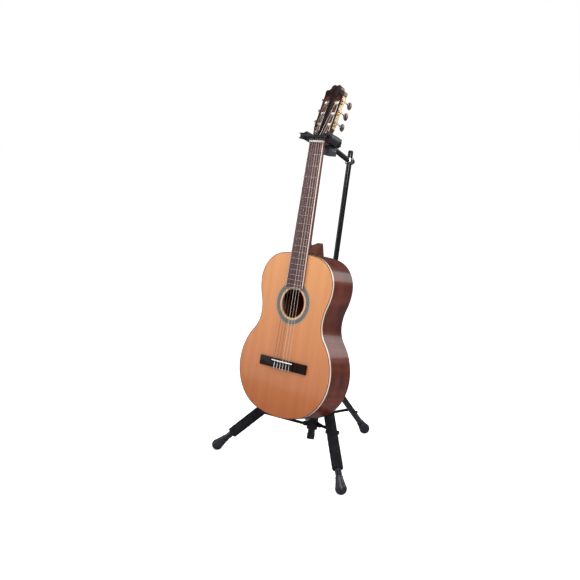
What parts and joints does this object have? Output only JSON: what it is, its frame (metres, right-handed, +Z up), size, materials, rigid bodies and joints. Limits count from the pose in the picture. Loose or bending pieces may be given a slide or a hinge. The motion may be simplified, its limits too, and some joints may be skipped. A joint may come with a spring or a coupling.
{
  "type": "guitar on stand",
  "caption": "Classical guitar with slotted headstock hanging in a folding tripod floor stand with a yoke, padded front legs and a telescopic mast.",
  "frame": {"origin": "on the floor, at the middle of the part's footprint", "axes": "+Z up, -Y towards the side that the guitar's soundboard faces, +X to the right seen from the front"},
  "size_m": [0.5398, 0.4624, 1.1252],
  "materials": {
    "spruce": "gloss",
    "mahogany": "gloss",
    "neck_wood": "satin",
    "rosewood": "satin",
    "binding": "gloss",
    "rosette": "gloss",
    "black_wood": "gloss",
    "bone": "satin",
    "fret_wire": "polished",
    "string_metal": "polished",
    "clear_string": "gloss",
    "inner_wood": "raw",
    "gold": "polished",
    "button": "pearl",
    "roller": "satin",
    "black_metal": "gloss",
    "black_plastic": "satin",
    "grey_plastic": "satin",
    "chrome": "polished",
    "foam": "matte",
    "rubber_foot": "satin"
  },
  "bodies": {
    "stand": {"mast_lower_tube": "black_metal", "height_clutch": "black_plastic", "leg_hub": "black_metal"},
    "upper_mast": {"mast_upper_tube": "black_metal", "mast_cap": "black_plastic", "yoke_clamp": "black_metal", "yoke_hub": "grey_plastic", "yoke_body": "black_plastic", "yoke_pad_left": "foam", "yoke_pad_right": "foam"},
    "guitar": {"soundboard": "spruce", "back_plate": "mahogany", "side_bass": "mahogany", "side_treble": "mahogany", "top_binding": "binding", "back_binding": "binding", "rosette": "rosette", "neck": "neck_wood", "head_veneer": "black_wood", "fingerboard": "rosewood", "frets": "fret_wire", "nut": "bone", "bridge": "black_wood", "saddle": "bone", "bass_strings": "string_metal", "treble_strings": "clear_string", "neck_block": "inner_wood", "tail_block": "inner_wood", "linings": "inner_wood", "soundboard_braces": "inner_wood", "back_braces": "inner_wood", "tuner_plates": "gold"},
    "gate_left": {"gate_left": "grey_plastic"},
    "gate_right": {"gate_right": "grey_plastic"},
    "clutch_knob": {"clutch_knob": "black_plastic"},
    "spreader_collar": {"spreader_collar": "black_metal"},
    "lock_pin": {"lock_pin": "chrome"},
    "leg_front_left": {"leg_front_left": "black_metal", "foam_front_left": "foam", "foot_front_left": "rubber_foot"},
    "brace_front_left": {"brace_front_left": "black_metal"},
    "leg_front_right": {"leg_front_right": "black_metal", "foam_front_right": "foam", "foot_front_right": "rubber_foot"},
    "brace_front_right": {"brace_front_right": "black_metal"},
    "leg_rear": {"leg_rear": "black_metal", "foot_rear": "rubber_foot"},
    "brace_rear": {"brace_rear": "black_metal"},
    "tuner_key_1": {"tuner_key_1": "button"},
    "string_roller_1": {"string_roller_1": "roller"},
    "tuner_key_2": {"tuner_key_2": "button"},
    "string_roller_2": {"string_roller_2": "roller"},
    "tuner_key_3": {"tuner_key_3": "button"},
    "string_roller_3": {"string_roller_3": "roller"},
    "tuner_key_4": {"tuner_key_4": "button"},
    "string_roller_4": {"string_roller_4": "roller"},
    "tuner_key_5": {"tuner_key_5": "button"},
    "string_roller_5": {"string_roller_5": "roller"},
    "tuner_key_6": {"tuner_key_6": "button"},
    "string_roller_6": {"string_roller_6": "roller"}
  },
  "joints": [
    {"name": "mast_extension", "type": "slide", "parent": "stand", "child": "upper_mast", "axis": [0, 0.2028, 0.9792], "range_m": [0, 0.2]},
    {"name": "guitar_lift", "type": "slide", "parent": "upper_mast", "child": "guitar", "axis": [0, 0.2253, 0.9743], "range_m": [0, 0.18]},
    {"name": "gate_left_swing", "type": "hinge", "parent": "upper_mast", "child": "gate_left", "pos_m": [-0.0424, -0.04943, 0.97912], "axis": [0, -0.2253, -0.9743], "range_deg": [0, 75]},
    {"name": "gate_right_swing", "type": "hinge", "parent": "upper_mast", "child": "gate_right", "pos_m": [0.0424, -0.04943, 0.97912], "axis": [0, 0.2253, 0.9743], "range_deg": [0, 75]},
    {"name": "clutch_knob_turn", "type": "hinge", "parent": "stand", "child": "clutch_knob", "pos_m": [0, 0.06034, 0.49624], "axis": [0, 0.9792, -0.2028], "range_deg": [0, 180]},
    {"name": "tripod_fold", "type": "slide", "parent": "stand", "child": "spreader_collar", "axis": [0, 0.2028, 0.9792], "range_m": [0, 0.1005]},
    {"name": "lock_pin_pull", "type": "slide", "parent": "spreader_collar", "child": "lock_pin", "axis": [0, -0.9792, 0.2028], "range_m": [0, 0.006], "stiffness_N_per_m": 400, "springref_m": -0.002},
    {"name": "leg_front_left_fold", "type": "hinge", "parent": "stand", "child": "leg_front_left", "pos_m": [-0.02338, -0.02785, 0.26022], "axis": [0.5, -0.848, 0.1756], "range_deg": [0, 37.73]},
    {"name": "brace_front_left_fold", "type": "hinge", "parent": "spreader_collar", "child": "brace_front_left", "pos_m": [-0.0093, -0.07412, 0.10773], "axis": [0.5, -0.848, 0.1756], "range_deg": [0, 84.68]},
    {"name": "leg_front_right_fold", "type": "hinge", "parent": "stand", "child": "leg_front_right", "pos_m": [0.02338, -0.02785, 0.26022], "axis": [0.5, 0.848, -0.1756], "range_deg": [0, 37.73]},
    {"name": "brace_front_right_fold", "type": "hinge", "parent": "spreader_collar", "child": "brace_front_right", "pos_m": [0.0288, -0.04105, 0.10089], "axis": [0.5, 0.848, -0.1756], "range_deg": [0, 84.68]},
    {"name": "leg_rear_fold", "type": "hinge", "parent": "stand", "child": "leg_rear", "pos_m": [0, 0.0118, 0.25201], "axis": [-1, 0, 0], "range_deg": [0, 44.35]},
    {"name": "brace_rear_fold", "type": "hinge", "parent": "spreader_collar", "child": "brace_rear", "pos_m": [-0.0195, -0.02154, 0.11564], "axis": [-1, 0, 0], "range_deg": [0, 82.53]},
    {"name": "tuner_key_1_turn", "type": "hinge", "parent": "guitar", "child": "tuner_key_1", "pos_m": [-0.037, 0.01778, 1.01154], "axis": [0, 0.8787, -0.4775], "continuous": true},
    {"name": "string_roller_1_turn", "type": "hinge", "parent": "guitar", "child": "string_roller_1", "pos_m": [-0.02, 0.00477, 1.01064], "axis": [-1, 0, 0], "continuous": true},
    {"name": "tuner_key_2_turn", "type": "hinge", "parent": "guitar", "child": "tuner_key_2", "pos_m": [-0.037, 0.03449, 1.04229], "axis": [0, 0.8787, -0.4775], "continuous": true},
    {"name": "string_roller_2_turn", "type": "hinge", "parent": "guitar", "child": "string_roller_2", "pos_m": [-0.02, 0.02148, 1.04139], "axis": [-1, 0, 0], "continuous": true},
    {"name": "tuner_key_3_turn", "type": "hinge", "parent": "guitar", "child": "tuner_key_3", "pos_m": [-0.037, 0.0512, 1.07304], "axis": [0, 0.8787, -0.4775], "continuous": true},
    {"name": "string_roller_3_turn", "type": "hinge", "parent": "guitar", "child": "string_roller_3", "pos_m": [-0.02, 0.03819, 1.07214], "axis": [-1, 0, 0], "continuous": true},
    {"name": "tuner_key_4_turn", "type": "hinge", "parent": "guitar", "child": "tuner_key_4", "pos_m": [0.037, 0.01778, 1.01154], "axis": [0, 0.8787, -0.4775], "continuous": true},
    {"name": "string_roller_4_turn", "type": "hinge", "parent": "guitar", "child": "string_roller_4", "pos_m": [0.02, 0.00477, 1.01064], "axis": [1, 0, 0], "continuous": true},
    {"name": "tuner_key_5_turn", "type": "hinge", "parent": "guitar", "child": "tuner_key_5", "pos_m": [0.037, 0.03449, 1.04229], "axis": [0, 0.8787, -0.4775], "continuous": true},
    {"name": "string_roller_5_turn", "type": "hinge", "parent": "guitar", "child": "string_roller_5", "pos_m": [0.02, 0.02148, 1.04139], "axis": [1, 0, 0], "continuous": true},
    {"name": "tuner_key_6_turn", "type": "hinge", "parent": "guitar", "child": "tuner_key_6", "pos_m": [0.037, 0.0512, 1.07304], "axis": [0, 0.8787, -0.4775], "continuous": true},
    {"name": "string_roller_6_turn", "type": "hinge", "parent": "guitar", "child": "string_roller_6", "pos_m": [0.02, 0.03819, 1.07214], "axis": [1, 0, 0], "continuous": true}
  ],
  "couplings": [
    {"joint": "gate_right_swing", "follows": "gate_left_swing", "ratio": 1},
    {"joint": "leg_front_left_fold", "follows": "tripod_fold", "rad_per_m": 6.5437},
    {"joint": "brace_front_left_fold", "follows": "tripod_fold", "rad_per_m": 14.696},
    {"joint": "leg_front_right_fold", "follows": "tripod_fold", "rad_per_m": 6.5437},
    {"joint": "brace_front_right_fold", "follows": "tripod_fold", "rad_per_m": 14.696},
    {"joint": "leg_rear_fold", "follows": "tripod_fold", "rad_per_m": 7.6933},
    {"joint": "brace_rear_fold", "follows": "tripod_fold", "rad_per_m": 14.323},
    {"joint": "string_roller_1_turn", "follows": "tuner_key_1_turn", "ratio": 0.071429},
    {"joint": "string_roller_2_turn", "follows": "tuner_key_2_turn", "ratio": 0.071429},
    {"joint": "string_roller_3_turn", "follows": "tuner_key_3_turn", "ratio": 0.071429},
    {"joint": "string_roller_4_turn", "follows": "tuner_key_4_turn", "ratio": 0.071429},
    {"joint": "string_roller_5_turn", "follows": "tuner_key_5_turn", "ratio": 0.071429},
    {"joint": "string_roller_6_turn", "follows": "tuner_key_6_turn", "ratio": 0.071429}
  ]
}
